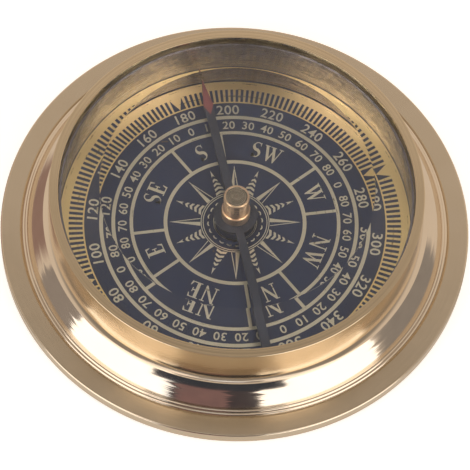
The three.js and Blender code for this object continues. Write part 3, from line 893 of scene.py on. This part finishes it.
needle_turn = Matrix.Rotation(math.radians(NEEDLE_BEARING), 3, "Z")
bmesh.ops.rotate(blade, verts=blade.verts, cent=(0, 0, 0), matrix=needle_turn)
steel_blade = add_piece("steel_blade", blade, [black_steel, red_enamel])
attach(steel_blade, "needle")
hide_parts("needle_blade")


# Needle cap. Turned from brass rod: a collar at its foot, a plain barrel, and faint tool rings and a
# centre mark on its flat top; it is pressed through the blade and holds the jewel over the point.
CAP_RADIUS = 2.2 * MM
COLLAR_RADIUS = 2.45 * MM
COLLAR_HEIGHT = 2.1 * MM
COLLAR_ROUND = 0.2 * MM
CAP_CHAMFER = 0.14 * MM
CAP_RIM = 1.9 * MM
RIM_STEP = 0.06 * MM
CAP_BORE = 1.55 * MM
CAP_SPIGOT = 1.95 * MM
CAP_CROWN = 0.5 * MM
CENTRE_MARK = 0.28 * MM
CENTRE_DEPTH = 0.1 * MM
TOOL_RING = 1.35 * MM
TOOL_RING_WIDTH = 0.22 * MM
TOOL_RING_DEPTH = 0.025 * MM
CAP_BRIGHT = "f6d8c3"
CAP_DULL = "dab9a3"
CAP_TOP_BRIGHT = "a89e98"
CAP_TOP_DULL = "8b817a"

# Cap brass: coppery, its shine drawn out up and down the barrel; the top is a darker grey brown.
cap_brass = turned_metal("turned cap brass", CAP_BRIGHT, CAP_DULL, roughness=0.3,
                         line_pitch=0.18 * MM, line_height=0.003 * MM, spread=0.9)
cap_top = turned_metal("darker grey-brown cap brass", CAP_TOP_BRIGHT, CAP_TOP_DULL, roughness=0.26,
                       line_pitch=0.18 * MM, line_height=0.002 * MM, spread=0.5)
cap_low, cap_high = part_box("hub_cap")
collar_top = blade_high.z + COLLAR_HEIGHT
cap_face = cap_high.z - RIM_STEP
cap_outline = [
    (0, cap_high.z - CAP_CROWN),
    (CAP_BORE, cap_high.z - CAP_CROWN),
    (CAP_BORE, cap_low.z),
    (CAP_SPIGOT, cap_low.z),
    (CAP_SPIGOT, blade_high.z),
    (COLLAR_RADIUS, blade_high.z),
    (COLLAR_RADIUS, collar_top),
    (CAP_RADIUS, collar_top),
    (CAP_RADIUS, cap_high.z),
    (CAP_RIM, cap_high.z),
    (CAP_RIM - RIM_STEP, cap_face),
    (TOOL_RING + TOOL_RING_WIDTH, cap_face),
    (TOOL_RING, cap_face - TOOL_RING_DEPTH),
    (TOOL_RING - TOOL_RING_WIDTH, cap_face),
    (CENTRE_MARK, cap_face),
    (0, cap_face - CENTRE_DEPTH),
]
cap_edges = {5: COLLAR_ROUND, 6: COLLAR_ROUND, 8: CAP_CHAMFER}
cap_shape = turned(cap_outline, cap_edges)
for face in cap_shape.faces:
    middle = face.calc_center_median()
    on_top = middle.z > cap_face - CENTRE_DEPTH and math.hypot(middle.x, middle.y) < CAP_RIM - RIM_STEP
    face.material_index = 1 if on_top else 0
brass_cap = add_piece("brass_cap", cap_shape, [cap_brass, cap_top])
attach(brass_cap, "needle")
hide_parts("hub_cap")


# Jewel. A small polished cup of red synthetic sapphire, pressed into the cap, that rides on the pin;
# the solid keeps its shape.
SAPPHIRE_RED = "b03a52"
SAPPHIRE_PALE = "c45a6e"
SAPPHIRE_PATCH = 0.8 * MM

# Polished sapphire: clear red, very glossy, with faint growth bands.
sapphire, tree = new_finish("polished synthetic sapphire")
place = put(tree, "ShaderNodeTexCoord")
bands = put(tree, "ShaderNodeTexNoise", {
    "Vector": place.outputs["Object"], "Scale": 1 / SAPPHIRE_PATCH})
tone = put(tree, "ShaderNodeMix", {
    0: bands.outputs["Fac"], MIX_A: linear(SAPPHIRE_RED), MIX_B: linear(SAPPHIRE_PALE)},
    data_type="RGBA")
gem = put(tree, "ShaderNodeBsdfPrincipled", {
    "Base Color": tone.outputs[MIX_RESULT], "Roughness": 0.05, "IOR": 1.77,
    "Transmission Weight": 0.6})
put(tree, "ShaderNodeOutputMaterial", {"Surface": gem.outputs["BSDF"]})
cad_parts["jewel_cup"].material_slots[0].material = sapphire


# Floor. A white light table that glows evenly, so that it runs into the white background. The metal
# doesn't mirror the table, only a round warm patch of it in the compass's own shade.
FLOOR_REACH = 3
FLOOR_WHITE = "f4f3f1"
FLOOR_GLOW = 0.7
PATCH_RADIUS = 46 * MM
PATCH_DROP = 0.05 * MM
PATCH_TONE = "d2c5b6"

# White light table: matt paper, lit from below.
sweep, tree = new_finish("white light table")
paper = put(tree, "ShaderNodeBsdfPrincipled", {
    "Base Color": linear(FLOOR_WHITE), "Roughness": 0.9, "Emission Color": linear(FLOOR_WHITE),
    "Emission Strength": FLOOR_GLOW})
put(tree, "ShaderNodeOutputMaterial", {"Surface": paper.outputs["BSDF"]})
ground_plane = bmesh.new()
bmesh.ops.create_grid(ground_plane, x_segments=1, y_segments=1, size=FLOOR_REACH)
floor = add_piece("floor", ground_plane, [sweep])
floor.visible_glossy = False
floor.visible_shadow = False
patch = bmesh.new()
bmesh.ops.create_circle(patch, cap_ends=True, segments=TURN_STEPS, radius=PATCH_RADIUS)
bmesh.ops.translate(patch, verts=patch.verts, vec=(0, 0, -PATCH_DROP))
shade, tree = new_finish("table in the compass's shade")
glow = put(tree, "ShaderNodeEmission", {"Color": linear(PATCH_TONE)})
put(tree, "ShaderNodeOutputMaterial", {"Surface": glow.outputs["Emission"]})
floor_patch = add_piece("floor_patch", patch, [shade])
floor_patch.visible_camera = False


# Cards. Boards and folded cloth below the camera and beside the softboxes, which are what the polished
# metal mirrors between the lights, and one white board overhead. As the metal doesn't mirror the table
# past its patch, they reach below it.
FOLD = 50 * MM
FOLD_LENGTH = 0.15
CARDS = {
    "warm_card": {"azimuth": -9, "distance": 0.74, "width": 0.3, "low": -0.32, "high": 0.25,
                  "tones": ("93706d", "645456"), "soft": 0.02},
    "low_card": {"azimuth": -5, "distance": 0.76, "width": 0.58, "low": -0.32, "high": 0.34,
                 "tones": ("30343c", "564a4a"), "soft": 0.03},
    "table_card": {"azimuth": -5, "distance": 0.75, "width": 0.58, "low": -1.5, "high": -0.28,
                   "tones": ("a48c76", "8e7866"), "soft": 0.05},
    "dark_card": {"azimuth": -3.5, "distance": 0.6, "width": 0.69, "low": 0.18, "high": 0.52,
                  "tones": ("2f343e", "3f4148"), "soft": 0.02},
    "front_panel": {"azimuth": -2, "distance": 0.32, "width": 0.22, "low": 0.8, "high": 1.7,
                    "tones": ("fafafc", "eeeff2"), "soft": 0.04},
    "grey_card_left": {"azimuth": -82, "distance": 0.74, "width": 0.35, "low": -1.2, "high": 0.3,
                       "tones": ("9a9088", "8a8079"), "soft": 0.03},
    "brown_card_left": {"azimuth": -116, "distance": 0.72, "width": 0.54, "low": -1.2, "high": 0.27,
                        "tones": ("9a8076", "8a7066"), "soft": 0.12},
    "grey_card_right": {"azimuth": 90, "distance": 0.74, "width": 0.68, "low": -1.2, "high": 0.3,
                        "tones": ("989088", "847c76"), "soft": 0.1},
}


def upright(panel):
    """Placement of an upright panel, in metres and degrees: turned from the camera's side by its azimuth
    and facing the middle."""
    turn = Matrix.Rotation(math.radians(panel["azimuth"]), 4, "Z")
    stand = Vector((0, -panel["distance"], (panel["low"] + panel["high"]) / 2))
    return turn @ Matrix.Translation(stand) @ Matrix.Rotation(math.pi / 2, 4, "X")


for name, card in CARDS.items():
    half_width = card["width"] / 2
    half_height = (card["high"] - card["low"]) / 2
    board, tree = new_finish(name)
    place = put(tree, "ShaderNodeTexCoord")
    stretched = put(tree, "ShaderNodeMapping", {
        "Vector": place.outputs["Object"], "Scale": (1, FOLD_LENGTH, 1)})
    folds = put(tree, "ShaderNodeTexNoise", {
        "Vector": stretched.outputs["Vector"], "Scale": 1 / FOLD, "Detail": 3})
    light_tone, dark_tone = card["tones"]
    tone = put(tree, "ShaderNodeMix", {
        0: folds.outputs["Fac"], MIX_A: linear(light_tone), MIX_B: linear(dark_tone)}, data_type="RGBA")
    apart = put(tree, "ShaderNodeSeparateXYZ", {"Vector": place.outputs["Object"]})
    fades = []
    for axis, half in (("X", half_width), ("Y", half_height)):
        off_middle = put(tree, "ShaderNodeMath", {0: apart.outputs[axis]}, operation="ABSOLUTE")
        fades.append(put(tree, "ShaderNodeMapRange", {
            "Value": off_middle.outputs["Value"], "From Min": half, "From Max": half - card["soft"]},
            interpolation_type="SMOOTHSTEP"))
    solid = put(tree, "ShaderNodeMath", {
        0: fades[0].outputs["Result"], 1: fades[1].outputs["Result"]}, operation="MULTIPLY")
    glow = put(tree, "ShaderNodeEmission", {"Color": tone.outputs[MIX_RESULT]})
    clear = put(tree, "ShaderNodeBsdfTransparent")
    cloth = put(tree, "ShaderNodeMixShader", {
        0: solid.outputs["Value"], 1: clear.outputs["BSDF"], 2: glow.outputs["Emission"]})
    put(tree, "ShaderNodeOutputMaterial", {"Surface": cloth.outputs["Shader"]})
    sheet = bmesh.new()
    bmesh.ops.create_grid(sheet, x_segments=1, y_segments=1, size=1)
    bmesh.ops.scale(sheet, verts=sheet.verts, vec=(half_width, half_height, 1))
    screen = add_piece(name, sheet, [board])
    screen.matrix_world = upright(card)
    screen.visible_camera = False
    screen.visible_shadow = False


# Lights. A softbox on each side of the camera with a dim warm panel above it, and a strong warm panel
# further round on each side. The strong ones light only what is behind the glass, so that the dial is
# bright and the brass outside isn't bleached.
LIGHTS = {
    "softbox_left": {"azimuth": -48, "distance": 0.7, "width": 0.67, "low": -1.2, "high": 0.36,
                     "radiance": 1.08, "tint": "ffffff", "outside": True},
    "softbox_right": {"azimuth": 41, "distance": 0.7, "width": 0.68, "low": -1.2, "high": 0.36,
                      "radiance": 1.08, "tint": "ffffff", "outside": True},
    "upper_panel_left": {"azimuth": -47, "distance": 0.72, "width": 0.5, "low": 0.36, "high": 4.6,
                         "radiance": 0.8, "tint": "fff1e2", "outside": True},
    "upper_panel_right": {"azimuth": 47, "distance": 0.72, "width": 0.5, "low": 0.36, "high": 4.6,
                          "radiance": 0.8, "tint": "fff1e2", "outside": True},
    "dial_panel_left": {"azimuth": -72, "distance": 0.5, "width": 0.6, "low": 0.6, "high": 3.2,
                        "radiance": 6.4, "tint": "ffeacb", "outside": False},
    "dial_panel_right": {"azimuth": 72, "distance": 0.5, "width": 0.6, "low": 0.6, "high": 3.2,
                         "radiance": 6.4, "tint": "ffeacb", "outside": False},
}

for name, light in LIGHTS.items():
    lamp = bpy.data.lights.new(name, "AREA")
    lamp.shape = "RECTANGLE"
    lamp.size = light["width"]
    lamp.size_y = light["high"] - light["low"]
    lamp.color = linear(light["tint"])[:3]
    lamp.energy = light["radiance"] * math.pi * lamp.size * lamp.size_y
    panel = bpy.data.objects.new(name, lamp)
    bpy.context.scene.collection.objects.link(panel)
    panel.matrix_world = upright(light)
    panel.visible_camera = False
    panel.visible_glossy = light["outside"]
    panel.visible_diffuse = light["outside"]


# Room. Warm walls that darken towards the ceiling, which the metal mirrors over the cards and lights.
# Colours are shown as they are, with no film curve.
WALL_TONE = "d5c4b1"
CEILING_TONE = "8e8478"
WALL_TOP = math.radians(54)
CEILING_START = math.radians(67)

room = bpy.data.worlds.new("warm room")
room.use_nodes = True
tree = room.node_tree
towards = put(tree, "ShaderNodeTexCoord")
apart = put(tree, "ShaderNodeSeparateXYZ", {"Vector": towards.outputs["Generated"]})
rise = put(tree, "ShaderNodeMapRange", {
    "Value": apart.outputs["Z"], "From Min": math.sin(WALL_TOP), "From Max": math.sin(CEILING_START)},
    interpolation_type="SMOOTHSTEP")
tone = put(tree, "ShaderNodeMix", {
    0: rise.outputs["Result"], MIX_A: linear(WALL_TONE), MIX_B: linear(CEILING_TONE)}, data_type="RGBA")
tree.links.new(tone.outputs[MIX_RESULT], tree.nodes["Background"].inputs["Color"])
bpy.context.scene.world = room
bpy.context.scene.view_settings.view_transform = "Standard"
